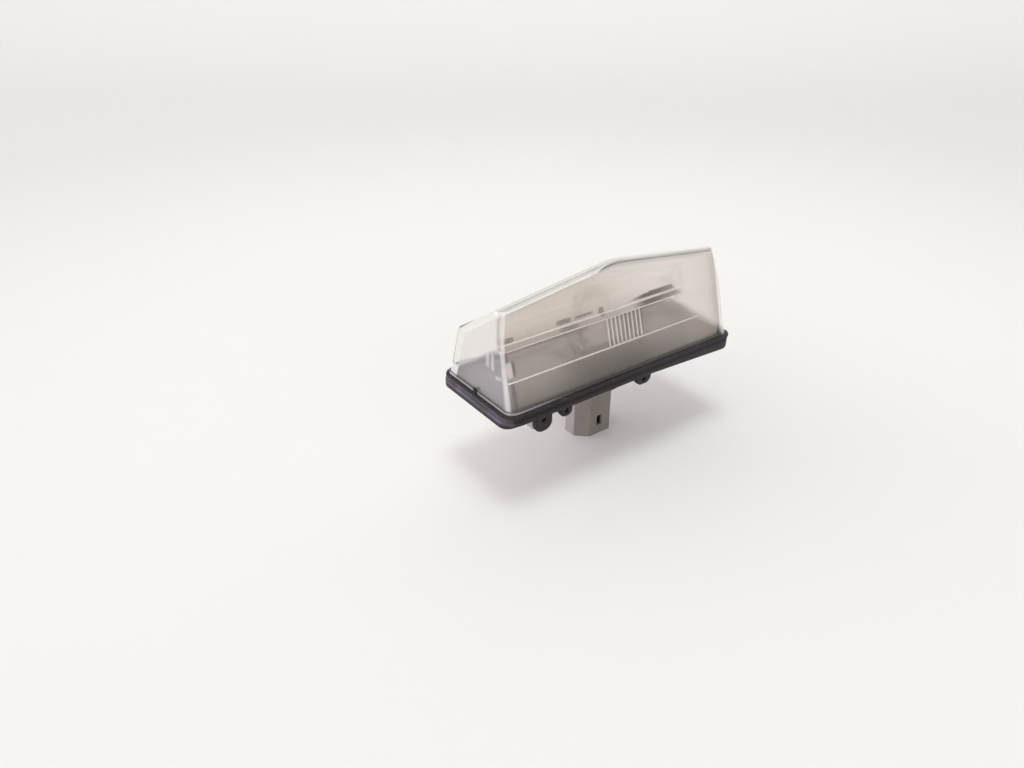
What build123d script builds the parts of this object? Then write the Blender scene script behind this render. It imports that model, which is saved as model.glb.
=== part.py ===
from build123d import *
import os
from math import cos, radians, sin, tan

# Number plate lamp of a car: a clear wedge-shaped lens welded to a moulded housing, a rubber gasket round the
# housing's flange, and a twist-in bulb holder underneath with its connector's shroud.
# Millimetres. X runs along the lens, the leaning front face looks towards -Y and +Z is up.
# The origin is level with the connector's mouth, under the middle of the gasket.

# Lens: a wedge with a bent ridge
lens_length = 77.0
lens_depth = 28.0
lens_wall = 2.0
front_lean = 16.2  # degrees from upright
back_lean = 18.0  # degrees from upright
back_slope = 32.9  # degrees from level
ridge_setback = 2.0  # from the lens's end in to the ridge's end
ridge_width = 2.3
ridge_headroom = 8.9  # from the bulb's tip up to the ridge's peak
ridge_fall = 4.2  # from the ridge's peak down to its ends
ridge_bend_radius = 26.0
ridge_edge_radius = 0.8
eave_radius = 3.0
bend_height = 15.0  # of the bend in the end faces, above the seal plane
bend_radius = 45.0
front_corner_radius = 2.6
back_corner_radius = 2.0
least_radius = 0.5  # of an inner corner
foot_depth = 1.2  # below the seal plane
foot_bead = 0.3
foot_bead_height = 0.6

# Optics on the inside of the lens's front wall, heights above the seal plane
band_bottom = 6.4
band_top = 13.7
band_thickness = 0.6
hood_bottom = 15.4
hood_top = 19.8
hood_thickness = 0.8
flute_count = 9
flute_pitch = 1.42
flute_middle = 2.3  # along X
flute_radius = 0.38

# Housing: a tray with a flange, and a collar for the bulb holder
seal_height = 25.5  # from the connector's mouth to the seal plane
flange_end = 0.8  # beyond the lens at its ends
flange_side = 0.7  # beyond the lens at front and back
flange_corner_radius = 2.5  # of the front corners, before the flange's growth
plate_thickness = 1.2
rim_clearance = 0.15  # between the lens's wall and the rim inside it
rim_width = 1.2
collar_radius = 10.6
collar_depth = 3.4
rib_thickness = 1.2
rib_depth = 1.8
rib_margin = 4.0  # from a rib's end to the lens's outer wall

# Gasket: a channel with two lips round the housing's flange
upper_lip_end = 1.3
upper_lip_side = 1.2
groove_end = 1.15
groove_side = 1.05
lower_lip_end = 1.5
lower_lip_side = 1.4
lip_corner_radius = 2.0  # of the front corners, before the lips' growth
lower_corner_radius = 3.0
upper_lip_depth = 1.1
groove_depth = 0.4
lower_lip_cover = 0.35  # rubber under the flange
lower_lip_reach = 1.6  # inwards from the lens's outer wall
lip_bevel = 0.4
taper_start = 8.0  # along X, where the lower lip starts to deepen
taper_end = 36.0
taper_drop = 1.35
gasket_clearance = 0.05
nib_width = 1.2
nib_height = 1.6
nib_offset = 0.2

# Gasket tabs: hang from the lower lip and slip over pegs on the housing's lugs
tab_thickness = 1.3
tab_setback = 0.1  # from the lower lip's face
tab_land = 0.3  # straight edge left beside a tab's rounded corners
large_tab_x = -29.3
large_tab_width = 5.4
large_tab_drop = 4.1
left_tab_x = -22.1
left_tab_width = 3.8
left_tab_drop = 2.4
right_tab_x = 4.5
right_tab_width = 5.2
right_tab_drop = 2.2
peg_radius = 0.5
peg_recess = 0.9  # from the tab's face
peg_drop = 0.8  # from the gasket's bottom to the peg's axis
peg_clearance = 0.1
lug_margin = 0.3  # from the tab's side to the lug's side
lug_clearance = 0.1
lug_thickness = 1.6
large_lug_thickness = 5.0
lug_tip = 0.8  # from the tab's tip to the lug's tip

# Bulb holder: a bayonet plug with a flange and a keyed connector shroud
holder_x = -0.7
plug_radius = 8.6
plug_clearance = 0.2
plug_rise = 0.4  # above the lugs' tops
lug_count = 3
lug_width = 5.0
lug_reach = 1.6
lug_height = 1.4
lug_play = 0.1
lug_turn = 45.0  # degrees from the entry notches to the locked lugs
holder_flange_radius = 10.2
holder_flange_thickness = 1.5
neck_radius = 7.6
neck_depth = 2.6
shroud_width = 11.2
shroud_depth = 10.0
shroud_wall = 1.3
shroud_key = 3.2  # chamfer on the two left corners
shroud_edge_radius = 0.8
mouth_depth = 12.0
window_width = 2.1
window_height = 3.2
window_bottom = 2.8  # above the mouth
window_x = 1.3
pocket_clearance = 0.35
grip_ribs = 3
grip_rib_width = 1.0
grip_rib_height = 0.5

# Seal ring under the collar
seal_section = 1.2

# Terminals: folded strips with a spring clip for the bulb and a blade for the connector
strip_thickness = 0.6
strip_width = 2.6
terminal_spacing = 5.0
terminal_clearance = 0.1
blade_tip = 4.6  # above the mouth
clip_height = 7.0
clip_flare = 0.5
blade_chamfer = 0.2

# Bulb: wedge base, clear glass
bulb_radius = 4.9
bulb_length = 26.8
glass_wall = 0.7
base_width = 9.5
base_thickness = 2.1
base_height = 8.0
base_corner_radius = 0.8
tip_height = 3.0
tip_bevel = 3.0
bulb_gap = 0.33  # from the bulb's shoulder to the lens's back wall
lead_radius = 0.25
lead_clearance = 0.05
lead_fold = 5.0  # height of the folded end on the base's face
filament_height = 17.5  # above the base's foot
filament_radius = 0.2

# Levels worked out from the sizes above
flange_top = seal_height - foot_depth
flange_bottom = flange_top - plate_thickness
gasket_bottom = flange_bottom - lower_lip_cover
tab_face = tab_setback - lens_depth / 2 - lower_lip_side
collar_bottom = flange_bottom - collar_depth
holder_flange_top = collar_bottom - seal_section
holder_flange_bottom = holder_flange_top - holder_flange_thickness
lug_bottom = flange_top + lug_play
plug_top = lug_bottom + lug_height + plug_rise
neck_bottom = holder_flange_bottom - neck_depth
clip_gap = base_thickness + 2 * (2 * lead_radius + terminal_clearance)
clip_width = clip_gap + 2 * (strip_thickness + clip_flare)
pocket_floor = neck_bottom + shroud_wall
clip_floor = pocket_floor + terminal_clearance
base_foot = clip_floor + strip_thickness + 2 * (2 * lead_radius + terminal_clearance)
bulb_tip = base_foot + bulb_length
ridge_length = lens_length - 2 * ridge_setback
ridge_peak_height = bulb_tip + ridge_headroom - seal_height  # above the seal plane
ridge_end_height = ridge_peak_height - ridge_fall
lean_rate = tan(radians(front_lean))
back_rate = tan(radians(back_lean))
slope_rate = tan(radians(back_slope))
front_wall = Rot(90 - front_lean, 0, 0)
shoulder_rise = bulb_tip - tip_height - seal_height
holder_y = lens_depth / 2 - lens_wall - back_rate * shoulder_rise - bulb_gap - bulb_radius
holder = Pos(holder_x, holder_y, 0)
tabs = (
    (large_tab_x, large_tab_width, large_tab_drop, large_lug_thickness),
    (left_tab_x, left_tab_width, left_tab_drop, lug_thickness),
    (right_tab_x, right_tab_width, right_tab_drop, lug_thickness),
)


def outline(end_grow, side_grow, corner=front_corner_radius):
    """Plan of the lens's foot, grown beyond its ends and beyond its front and back."""
    plan = Rectangle(lens_length + 2 * end_grow, lens_depth + 2 * side_grow)
    front = plan.vertices().sort_by(Axis.Y)[:2]
    plan = fillet(front, max(corner + end_grow, least_radius))
    back = plan.vertices().sort_by(Axis.Y)[-2:]
    return fillet(back, max(back_corner_radius + end_grow, least_radius))


def slab(plan, bottom, top):
    """Upright prism of a plan between two levels."""
    return extrude(Pos(0, 0, bottom) * plan, top - bottom)


def roof(inset):
    """Everything under the ridge strip and the back slope, both moved in by inset."""
    lowered = inset / cos(radians(back_slope))
    back_edge = ridge_width - lens_depth / 2 + lean_rate * inset - (lowered - inset) / slope_rate
    stretch = 1 / cos(radians(front_lean))
    fall = (ridge_peak_height - ridge_end_height) / (ridge_length / 2)
    peak = (ridge_peak_height - inset) * stretch
    far = peak - fall * lens_length * stretch
    gable = Polygon(
        (-lens_length, -lens_length),
        (lens_length, -lens_length),
        (lens_length, far),
        (0, peak),
        (-lens_length, far),
        align=None,
    )
    gable = fillet(gable.vertices().sort_by(Axis.Y)[-1], ridge_bend_radius - inset)
    face = Pos(0, back_edge, seal_height) * front_wall * gable
    strip = extrude(face, 2 * ridge_width, dir=(0, -1, 0))
    slope = extrude(face, 3 * lens_depth, dir=(0, 1, -slope_rate))
    return strip + slope


def end_view(inset, top):
    """Front elevation of the lens without its roof: ends that stand upright, then bend in to the ridge."""
    half = lens_length / 2 - inset
    bend_rate = (lens_length - ridge_length) / 2 / (ridge_end_height - bend_height)
    narrow = half - bend_rate * (top - bend_height)
    view = Polygon(
        (-half, 0),
        (half, 0),
        (half, bend_height),
        (narrow, top),
        (-narrow, top),
        (-half, bend_height),
        align=None,
    )
    return fillet(view.vertices().sort_by(Axis.Y)[2:4], bend_radius - inset)


def wedge_section(inset, top):
    """Cross-section of the lens without its roof: the leaning front and back walls."""
    front = -lens_depth / 2 + inset
    back = lens_depth / 2 - inset
    return Polygon(
        (front, 0),
        (back, 0),
        (back - top * back_rate, top),
        (front + top * lean_rate, top),
        align=None,
    )


def lens_form(inset):
    """Solid inside the lens's outer faces, all moved in by inset, from the seal plane up."""
    top = ridge_peak_height + ridge_width
    up = Pos(0, 0, seal_height)
    wedge = up * extrude(Plane.YZ * wedge_section(inset, top), lens_length, both=True)
    ends = up * extrude(Plane.XZ * end_view(inset, top), lens_depth, both=True)
    body = wedge & ends

    def uprights(side):
        return body.edges().filter_by(
            lambda edge: edge.bounding_box().size.Z > ridge_width
            and side * edge.center().Y > 0
            and abs(edge.center().X) > ridge_length / 2 - lens_wall - inset
        )

    body = fillet(uprights(-1), max(front_corner_radius - inset, least_radius))
    body = fillet(uprights(1), max(back_corner_radius - inset, least_radius))
    cover = wedge & roof(inset)
    eave = cover.edges().filter_by(
        lambda edge: edge.bounding_box().size.X > ridge_width
        and (edge @ 0.5).Y > 0
        and (edge @ 0.5).Z > seal_height + ridge_width
    )
    cover = fillet(eave, max(eave_radius - inset, least_radius))
    if inset == 0:

        def behind_front(edge):
            middle = edge @ 0.5
            return middle.Y + lens_depth / 2 - lean_rate * (middle.Z - seal_height)

        front_edge = cover.edges().filter_by(
            lambda edge: edge.bounding_box().size.X > ridge_width
            and (edge @ 0.5).Z > seal_height + bend_height
            and behind_front(edge) < ridge_width / 2
        )
        cover = fillet(front_edge, ridge_edge_radius)
    return body & cover


def front_prism(profile, cavity):
    """Pad on the inside of the front wall, sunk into it: profile holds (height, thickness)."""
    inside = [(lens_wall - lens_depth / 2 + lean_rate * z + deep, z) for z, deep in profile]
    wall = [(lens_wall / 2 - lens_depth / 2 + lean_rate * z, z) for z, _ in (profile[-1], profile[0])]
    pad = extrude(Plane.YZ * Polygon(*inside, *wall, align=None), lens_length, both=True)
    return Pos(0, 0, seal_height) * pad & cavity


def lens():
    """Clear lens: the hollow wedge, its foot and the optics inside its front wall."""
    cavity = lens_form(lens_wall)
    cavity += extrude(cavity.faces().sort_by(Axis.Z)[0], foot_depth, dir=(0, 0, -1))
    foot = slab(outline(foot_bead, foot_bead), flange_top, seal_height + foot_bead_height)
    shell = lens_form(0) + foot - cavity
    near = lens_form(lens_wall / 2)
    band = ((band_bottom, 0), (band_bottom, band_thickness), (band_top, band_thickness), (band_top, 0))
    hood = ((hood_bottom, 0), (hood_bottom, hood_thickness), (hood_top, 0))
    shell += front_prism(band, near)
    shell += front_prism(hood, near)
    flute_length = (band_top - band_bottom) / cos(radians(front_lean))
    face_y = lens_wall - lens_depth / 2 + lean_rate * band_bottom + band_thickness
    for index in range(flute_count):
        x = flute_middle + (index - (flute_count - 1) / 2) * flute_pitch
        base = Plane(
            origin=(x, face_y, seal_height + band_bottom),
            x_dir=(1, 0, 0),
            z_dir=(0, sin(radians(front_lean)), cos(radians(front_lean))),
        )
        shell += extrude(base * Circle(flute_radius), flute_length)
    return shell


def upright_plate(x, front, width, bottom, top, thickness):
    """Plate along X with its front face at front."""
    return Pos(x, front + thickness / 2, (bottom + top) / 2) * Box(width, thickness, top - bottom)


def lug(x, width, drop, thick, clearance):
    """Plate under the flange behind a tab, grown by a clearance."""
    front = tab_face + tab_thickness + lug_clearance - clearance
    bottom = gasket_bottom - drop + lug_tip - clearance
    size = width - 2 * lug_margin + 2 * clearance
    return upright_plate(x, front, size, bottom, flange_bottom, thick + 2 * clearance)


def housing():
    """Light grey tray: flange and floor, rim inside the lens, collar, ribs, lugs and pegs."""
    tray = slab(outline(flange_end, flange_side, flange_corner_radius), flange_bottom, flange_top)
    rim_out = -lens_wall - rim_clearance
    rim_in = rim_out - rim_width
    tray += slab(outline(rim_out, rim_out) - outline(rim_in, rim_in), flange_top, seal_height)
    tray += holder * slab(Circle(collar_radius), collar_bottom, flange_bottom)
    rib_half = lens_length / 2 - rib_margin
    rib_level = flange_bottom - rib_depth / 2
    tray += Pos(0, holder_y, rib_level) * Box(2 * rib_half, rib_thickness, rib_depth)
    for side in (-1, 1):
        x = side * (collar_radius + rib_half) / 2
        tray += Pos(x, 0, rib_level) * Box(rib_thickness, lens_depth - 2 * rib_margin, rib_depth)
    bore = Circle(plug_radius + plug_clearance)
    notch = Rectangle(lug_width + 2 * plug_clearance, 2 * (plug_radius + lug_reach + plug_clearance))
    notch &= Pos(0, plug_radius + lug_reach) * Rectangle(2 * plug_radius, 2 * (plug_radius + lug_reach))
    notch &= Circle(plug_radius + lug_reach + plug_clearance)
    for index in range(lug_count):
        bore += Rot(0, 0, index * 360 / lug_count) * notch
    tray -= holder * slab(bore, collar_bottom, flange_top)
    peg_level = gasket_bottom - peg_drop
    peg_length = tab_thickness + lug_clearance - peg_recess + lug_thickness / 2
    peg = Rot(90, 0, 0) * Cylinder(peg_radius, peg_length)
    for x, width, drop, thick in tabs:
        tray += lug(x, width, drop, thick, 0)
        tray += Pos(x, tab_face + peg_recess + peg_length / 2, peg_level) * peg
    return tray


def gasket():
    """Black rubber channel with two lips, a nib, and tabs with holes for the housing's pegs."""
    groove_top = seal_height - upper_lip_depth
    lower_top = groove_top - groove_depth
    lowest = gasket_bottom - taper_drop
    upper = slab(outline(upper_lip_end, upper_lip_side, lip_corner_radius), groove_top, seal_height)
    upper = chamfer(upper.faces().sort_by(Axis.Z)[-1].edges(), lip_bevel)
    upper = chamfer(upper.faces().sort_by(Axis.Z)[0].edges(), lip_bevel)
    lower = slab(outline(lower_lip_end, lower_lip_side, lower_corner_radius), lowest, lower_top)
    lower = chamfer(lower.faces().sort_by(Axis.Z)[-1].edges(), lip_bevel)
    side_view = Polygon(
        (-lens_length, lower_top),
        (-lens_length, gasket_bottom),
        (taper_start, gasket_bottom),
        (taper_end, lowest),
        (lens_length, lowest),
        (lens_length, lower_top),
        align=None,
    )
    lower &= extrude(Plane.XZ * side_view, lens_depth, both=True)
    core = outline(groove_end, groove_side, lip_corner_radius)
    ring = upper + lower + slab(core, gasket_bottom, seal_height - lip_bevel)
    nib_x = lens_length / 2 + (foot_bead + upper_lip_end - lip_bevel) / 2
    nib_length = upper_lip_end - lip_bevel - foot_bead - 2 * gasket_clearance
    ring += Pos(-nib_x, nib_offset, seal_height + nib_height / 2 - lip_bevel / 2) * Box(
        nib_length, nib_width, nib_height + lip_bevel
    )
    around_foot = foot_bead + gasket_clearance
    ring -= slab(outline(around_foot, around_foot), flange_top, seal_height)
    slot = outline(flange_end + gasket_clearance, flange_side + gasket_clearance, flange_corner_radius)
    ring -= slab(slot, flange_bottom, flange_top)
    ring -= slab(outline(-lower_lip_reach, -lower_lip_reach), lowest, flange_bottom)
    peg_level = gasket_bottom - peg_drop
    hole = Rot(90, 0, 0) * Cylinder(peg_radius + peg_clearance, 2 * tab_thickness)
    for x, width, drop, thick in tabs:
        tab = upright_plate(x, tab_face, width, gasket_bottom - drop, gasket_bottom, tab_thickness)
        corners = tab.edges().filter_by(Axis.Y).sort_by(Axis.Z)[:2]
        ring += fillet(corners, min(drop, width / 2) - tab_land)
        ring -= lug(x, width, drop, thick, lug_clearance)
        ring -= Pos(x, tab_face, peg_level) * hole
    return ring


def shroud_plan(inset):
    """Connector's cross-section moved in by inset: two left corners cut off as a key, all edges rounded."""
    half_width = shroud_width / 2 - inset
    half_depth = shroud_depth / 2 - inset
    key = shroud_key - inset * (2 - 2**0.5)
    plan = Polygon(
        (half_width, -half_depth),
        (half_width, half_depth),
        (key - half_width, half_depth),
        (-half_width, half_depth - key),
        (-half_width, key - half_depth),
        (key - half_width, -half_depth),
        align=None,
    )
    return fillet(plan.vertices(), shroud_edge_radius)


def bulb_holder():
    """Grey-green twist-in holder: plug with bayonet lugs, flange, neck and connector shroud."""
    body = slab(Circle(plug_radius), holder_flange_top, plug_top)
    body += slab(Circle(holder_flange_radius), holder_flange_bottom, holder_flange_top)
    body += slab(Circle(neck_radius), neck_bottom, holder_flange_bottom)
    body += slab(shroud_plan(0), 0, neck_bottom)
    lugs = Circle(plug_radius + lug_reach) & Pos(0, plug_radius) * Rectangle(lug_width, 2 * plug_radius)
    for index in range(lug_count):
        turned = Rot(0, 0, lug_turn + index * 360 / lug_count) * lugs
        body += slab(turned, lug_bottom, lug_bottom + lug_height)
    pocket = Rectangle(base_width + 2 * pocket_clearance, clip_width + 2 * pocket_clearance)
    body -= slab(pocket, pocket_floor, plug_top)
    body -= slab(shroud_plan(shroud_wall), 0, mouth_depth)
    for side in (-1, 1):
        slit = Rectangle(strip_width + 2 * terminal_clearance, strip_thickness + 2 * terminal_clearance)
        body -= slab(Pos(side * terminal_spacing / 2, 0) * slit, mouth_depth, pocket_floor)
    window_level = window_bottom + window_height / 2
    body -= Pos(window_x, -shroud_depth / 2, window_level) * Box(window_width, 3 * shroud_wall, window_height)
    for index in range(grip_ribs):
        x = (index - (grip_ribs - 1) / 2) * 2 * grip_rib_width
        rib = Rectangle(grip_rib_width, 2 * grip_rib_height)
        body += slab(Pos(x, shroud_depth / 2) * rib, mouth_depth, neck_bottom)
    return holder * body


def holder_seal():
    """Rubber ring squeezed between the housing's collar and the holder's flange."""
    ring = Circle(holder_flange_radius) - Circle(plug_radius + plug_clearance)
    return holder * slab(ring, holder_flange_top, collar_bottom)


def terminal(side):
    """Folded strip: a clip with flared leaves round the bulb's base, and a blade down into the mouth."""
    inner = clip_gap / 2
    outer = inner + strip_thickness
    flare_height = 2 * clip_flare
    leaf_top = clip_floor + clip_height
    leaf = Polygon(
        (0, clip_floor),
        (outer, clip_floor),
        (outer, leaf_top - flare_height),
        (outer + clip_flare, leaf_top),
        (inner + clip_flare, leaf_top),
        (inner, leaf_top - flare_height),
        (inner, clip_floor + strip_thickness),
        (0, clip_floor + strip_thickness),
        align=None,
    )
    blade = Pos(0, (blade_tip + clip_floor + strip_thickness) / 2) * Rectangle(
        strip_thickness, clip_floor + strip_thickness - blade_tip
    )
    profile = leaf + mirror(leaf, Plane.YZ) + blade
    strip = extrude(Plane.YZ * profile, strip_width / 2, both=True)
    tip = strip.edges().filter_by(Axis.X).sort_by(Axis.Z)[:2]
    strip = chamfer(tip, blade_chamfer)
    return holder * Pos(side * terminal_spacing / 2, 0, 0) * strip


def pinch_profile(inset):
    """Side outline of the bulb: a flat base that flares to the round glass."""
    half = base_thickness / 2 - inset
    wide = bulb_radius + glass_wall - inset
    foot = base_foot + inset
    neck = base_foot + base_height + inset
    flare = neck + wide - half
    above = bulb_tip + bulb_radius
    right = Line((0, foot), (half, foot)) + Line((half, foot), (half, neck))
    right += RadiusArc((half, neck), (wide, flare), wide - half)
    right += Line((wide, flare), (wide, above)) + Line((wide, above), (0, above))
    return make_face(right + mirror(right, Plane.YZ))


def bulb_body(inset):
    """Bulb's glass form, moved in by inset: round with a bevelled tip, pinched flat at its base."""
    tube = slab(Circle(bulb_radius - inset), base_foot + inset, bulb_tip - inset)
    tube = chamfer(tube.edges().sort_by(Axis.Z)[-1], tip_height - inset, tip_bevel - inset)
    return tube & extrude(Plane.YZ * pinch_profile(inset), bulb_radius, both=True)


def bulb_envelope():
    """Clear glass of the bulb, hollow above its pinched base, with holes for the two leads."""
    hollow_top = Pos(0, 0, base_foot + base_height) * Cylinder(
        bulb_radius, bulb_length, align=(Align.CENTER, Align.CENTER, Align.MIN)
    )
    base = slab(Rectangle(base_width, base_thickness), base_foot, base_foot + base_height)
    base = fillet(base.edges().filter_by(Axis.Y).sort_by(Axis.Z)[:2], base_corner_radius)
    glass = bulb_body(0) & (hollow_top + base)
    glass -= bulb_body(glass_wall) & hollow_top
    for side in (-1, 1):
        hole = Pos(side * terminal_spacing / 2, 0) * Circle(lead_radius + lead_clearance)
        glass -= slab(hole, base_foot, base_foot + base_height + glass_wall + lead_radius)
    return holder * glass


def bulb_lead(side):
    """Lead wire: carries the filament, runs down through the base and folds up its face."""
    x = side * terminal_spacing / 2
    face = side * (base_thickness / 2 + lead_radius + lead_clearance)
    low = base_foot - lead_radius - lead_clearance
    path = Polyline(
        (x, 0, base_foot + filament_height),
        (x, 0, low),
        (x, face, low),
        (x, face, base_foot + lead_fold),
    )
    section = Plane(origin=path @ 0, z_dir=path % 0) * Circle(lead_radius)
    return holder * sweep(section, path, transition=Transition.RIGHT)


def bulb_filament():
    """Filament stretched between the tips of the leads."""
    span = terminal_spacing - 2 * lead_radius - 2 * lead_clearance
    level = base_foot + filament_height - 2 * filament_radius
    return holder * Pos(0, 0, level) * Rot(0, 90, 0) * Cylinder(filament_radius, span)


pieces = {
    "lens": lens(),
    "housing": housing(),
    "gasket": gasket(),
    "bulb_holder": bulb_holder(),
    "holder_seal": holder_seal(),
    "terminal_left": terminal(-1),
    "terminal_right": terminal(1),
    "bulb_envelope": bulb_envelope(),
    "bulb_lead_left": bulb_lead(-1),
    "bulb_lead_right": bulb_lead(1),
    "bulb_filament": bulb_filament(),
}
os.makedirs("parts", exist_ok=True)
for node, shape in pieces.items():
    export_step(shape, f"parts/{node}.step")
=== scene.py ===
"""Looks of a number plate lamp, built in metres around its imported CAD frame."""

import logging
import math
from dataclasses import dataclass, field
from enum import Enum
from typing import Any, Mapping, Sequence, Union

import bmesh
import bpy
from mathutils import Matrix, Vector


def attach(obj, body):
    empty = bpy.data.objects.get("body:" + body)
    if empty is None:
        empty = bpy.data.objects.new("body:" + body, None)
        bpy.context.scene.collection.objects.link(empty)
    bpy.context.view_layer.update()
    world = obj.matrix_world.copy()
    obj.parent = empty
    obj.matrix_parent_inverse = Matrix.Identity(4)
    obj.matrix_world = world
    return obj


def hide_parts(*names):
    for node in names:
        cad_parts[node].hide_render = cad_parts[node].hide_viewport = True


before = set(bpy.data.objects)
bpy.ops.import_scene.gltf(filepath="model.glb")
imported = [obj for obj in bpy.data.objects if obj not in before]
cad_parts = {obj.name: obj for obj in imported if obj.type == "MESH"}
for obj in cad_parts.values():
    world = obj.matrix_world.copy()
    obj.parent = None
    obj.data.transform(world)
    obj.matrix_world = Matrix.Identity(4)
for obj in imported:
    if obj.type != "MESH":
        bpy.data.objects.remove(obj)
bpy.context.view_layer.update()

log = logging.getLogger("number_plate_lamp")

MM = 0.001
Colour = tuple[float, float, float]
Point = tuple[float, float, float]
Plan = tuple[float, float]
Operand = Union["Value", float, int]

# Part of a normal over which a face comes to look square to the left or to the front.
SQUARE_ON: Plan = (-0.8, -0.95)


class Slot(Enum):
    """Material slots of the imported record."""

    GASKET = "gasket_rubber"
    GLASS = "bulb_glass"
    FILAMENT = "filament_wire"


class Shade(Enum):
    """How the faces of a new mesh are shaded."""

    ROUND = "round"
    CREASED = "creased"


@dataclass(frozen=True)
class Value:
    """Output of a shader node, with Python's operators for Math nodes."""

    graph: "Graph"
    socket: Union[bpy.types.NodeSocket, None]

    def __add__(self, other: Operand) -> "Value":
        """Sum of two values."""
        return self.graph.math("ADD", self, other)

    __radd__ = __add__

    def __sub__(self, other: Operand) -> "Value":
        """This value less another."""
        return self.graph.math("SUBTRACT", self, other)

    def __rsub__(self, other: Operand) -> "Value":
        """A number less this value."""
        return self.graph.math("SUBTRACT", other, self)

    def __mul__(self, other: Operand) -> "Value":
        """Product of two values."""
        return self.graph.math("MULTIPLY", self, other)

    __rmul__ = __mul__

    def __truediv__(self, other: Operand) -> "Value":
        """This value over another."""
        return self.graph.math("DIVIDE", self, other)

    def __rtruediv__(self, other: Operand) -> "Value":
        """A number over this value."""
        return self.graph.math("DIVIDE", other, self)

    def __abs__(self) -> "Value":
        """Size of this value without its sign."""
        return self.graph.math("ABSOLUTE", self, 0)

    def __or__(self, other: Operand) -> "Value":
        """The larger of two masks."""
        return self.graph.math("MAXIMUM", self, other)


class Graph:
    """Node tree of one material or of the world."""

    def __init__(self, owner: Union[bpy.types.Material, bpy.types.World]) -> None:
        """Clears the owner's nodes and keeps its tree.

        Args:
            owner: material or world that the nodes belong to.
        """
        owner.use_nodes = True
        self.owner = owner
        self.tree = owner.node_tree
        self.tree.nodes.clear()

    def add(
        self,
        kind: str,
        settings: Mapping[str, Any] | None = None,
        sockets: Mapping[Union[str, int], Any] | None = None,
        out: Union[str, int] = 0,
    ) -> Value:
        """Adds a node of any kind.

        Args:
            kind: the node's type, without the ShaderNode in front.
            settings: the node's own properties, set first.
            sockets: values or links of its inputs, by name or index.
            out: name or index of the output that is wanted.

        Returns:
            The wanted output.
        """
        node = self.tree.nodes.new("ShaderNode" + kind)
        for name, setting in (settings or {}).items():
            setattr(node, name, setting)
        for name, given in (sockets or {}).items():
            if isinstance(given, Value):
                self.tree.links.new(given.socket, node.inputs[name])
            else:
                node.inputs[name].default_value = given
        return Value(self, node.outputs[out]) if len(node.outputs) else Value(self, None)

    def math(self, operation: str, first: Operand, second: Operand) -> Value:
        """Math node of two operands."""
        return self.add("Math", {"operation": operation}, {0: first, 1: second})

    def place(self) -> Value:
        """Position in the row frame, in metres."""
        return self.add("TexCoord", out="Object")

    def axes(self, vector: Value) -> tuple[Value, Value, Value]:
        """Three parts of a vector.

        Args:
            vector: the vector to take apart.

        Returns:
            Its X, Y and Z.
        """
        parts = self.add("SeparateXYZ", sockets={0: vector}).socket.node.outputs
        return Value(self, parts[0]), Value(self, parts[1]), Value(self, parts[2])

    def normal(self) -> tuple[Value, Value, Value]:
        """Surface's own normal.

        Returns:
            Its X, Y and Z, the same from either side of the surface.
        """
        facing = 1 - 2 * self.add("NewGeometry", out="Backfacing")
        x, y, z = self.axes(self.add("NewGeometry", out="Normal"))
        return x * facing, y * facing, z * facing

    def noise(
        self, scale: float, detail: float = 3.0, stretch: Point = (1, 1, 1), harsh: float = 0.55
    ) -> Value:
        """Noise from 0 to 1.

        Args:
            scale: grains per metre.
            detail: layers of finer noise.
            stretch: factor on each axis before the noise is read.
            harsh: strength of the finer layers.

        Returns:
            The noise's height.
        """
        mapped = self.add("Mapping", sockets={"Vector": self.place(), "Scale": stretch})
        sockets = {"Vector": mapped, "Scale": scale, "Detail": detail, "Roughness": harsh}
        return self.add("TexNoise", sockets=sockets)

    def ramp(self, value: Value, low: float, high: float) -> Value:
        """Smooth step from 0 at low to 1 at high, which may be the smaller."""
        sockets = {0: value, 1: low, 2: high, 3: 0.0, 4: 1.0}
        return self.add("MapRange", {"interpolation_type": "SMOOTHSTEP"}, sockets)

    def between(self, value: Value, low: float, high: float, soft: float) -> Value:
        """Mask that is 1 from low to high, with soft edges outside."""
        return self.ramp(value, low - soft, low) * self.ramp(value, high + soft, high)

    def blend(self, factor: Operand, first: Any, second: Any) -> Value:
        """Mix of two colours.

        Args:
            factor: share of the second colour.
            first: colour or link at factor 0.
            second: colour or link at factor 1.

        Returns:
            The mixed colour.
        """
        sides = [given if isinstance(given, Value) else (*given, 1.0) for given in (first, second)]
        return self.add("Mix", {"data_type": "RGBA"}, {0: factor, 6: sides[0], 7: sides[1]}, out=2)

    def bump(self, height: Value, depth: float, strength: float = 1.0) -> Value:
        """Normal bent by a height from 0 to 1 that stands for depth in metres."""
        return self.add("Bump", sockets={"Height": height, "Distance": depth, "Strength": strength})

    def surface(self, **sockets: Any) -> Value:
        """Principled shader; spaces in socket names are written as underscores."""
        named = {name.replace("_", " "): given for name, given in sockets.items()}
        return self.add("BsdfPrincipled", sockets=named)

    def mix(self, factor: Operand, first: Value, second: Value) -> Value:
        """Mix of two shaders, with factor as the second one's share."""
        return self.add("MixShader", sockets={0: factor, 1: first, 2: second})

    def end(self, shader: Value) -> Any:
        """Links the shader to the output.

        Args:
            shader: the finished shader.

        Returns:
            The material or world.
        """
        kind = "OutputWorld" if isinstance(self.owner, bpy.types.World) else "OutputMaterial"
        self.add(kind, sockets={"Surface": shader})
        return self.owner


def new_graph(name: str) -> Graph:
    """Graph of a new material with this name."""
    return Graph(bpy.data.materials.new(name))


@dataclass(frozen=True)
class Mark:
    """Soft oval patch of a film, in millimetres: its middle and its half sizes across and up."""

    across: float
    up: float
    half_across: float
    half_up: float


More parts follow.
